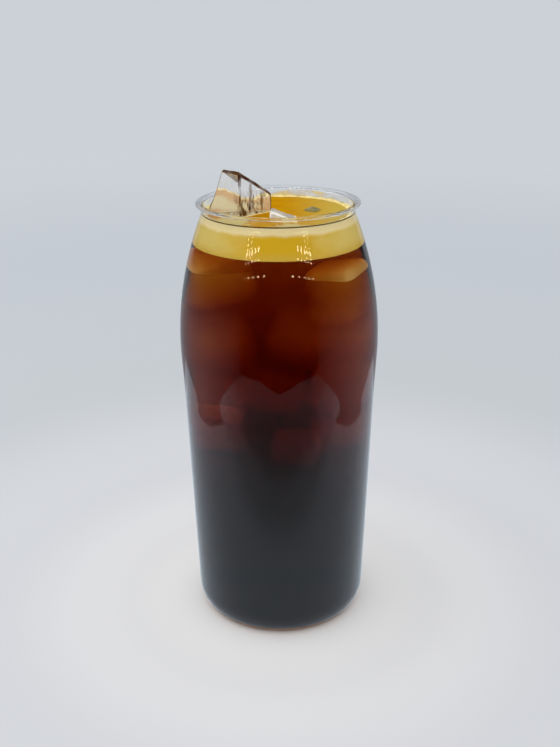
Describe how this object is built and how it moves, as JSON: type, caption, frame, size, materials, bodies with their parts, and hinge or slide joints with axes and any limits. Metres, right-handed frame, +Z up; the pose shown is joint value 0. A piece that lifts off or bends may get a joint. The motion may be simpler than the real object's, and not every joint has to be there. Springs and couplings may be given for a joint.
{
  "type": "iced americano",
  "caption": "Iced black coffee with a golden crema layer and ice that breaks the surface, in a clear can-shaped takeaway cup filled to just under its flanged rim.",
  "frame": {"origin": "centre of the underside of the cup's base", "axes": "+Z up along the cup's axis, towards the rim; -Y towards the side the ice is seen from; +X to the right from there, away from the large ice cube"},
  "size_m": [0.0664, 0.0664, 0.1566],
  "materials": {
    "clear_plastic": "clear, glossy",
    "coffee": "liquid, glossy",
    "crema": "fine foam",
    "ice": "wet, clear"
  },
  "bodies": {
    "root": {"cup": "clear_plastic", "coffee": "coffee", "crema": "crema", "ice_large": "ice", "ice_front": "ice", "ice_small": "ice"}
  },
  "joints": []
}
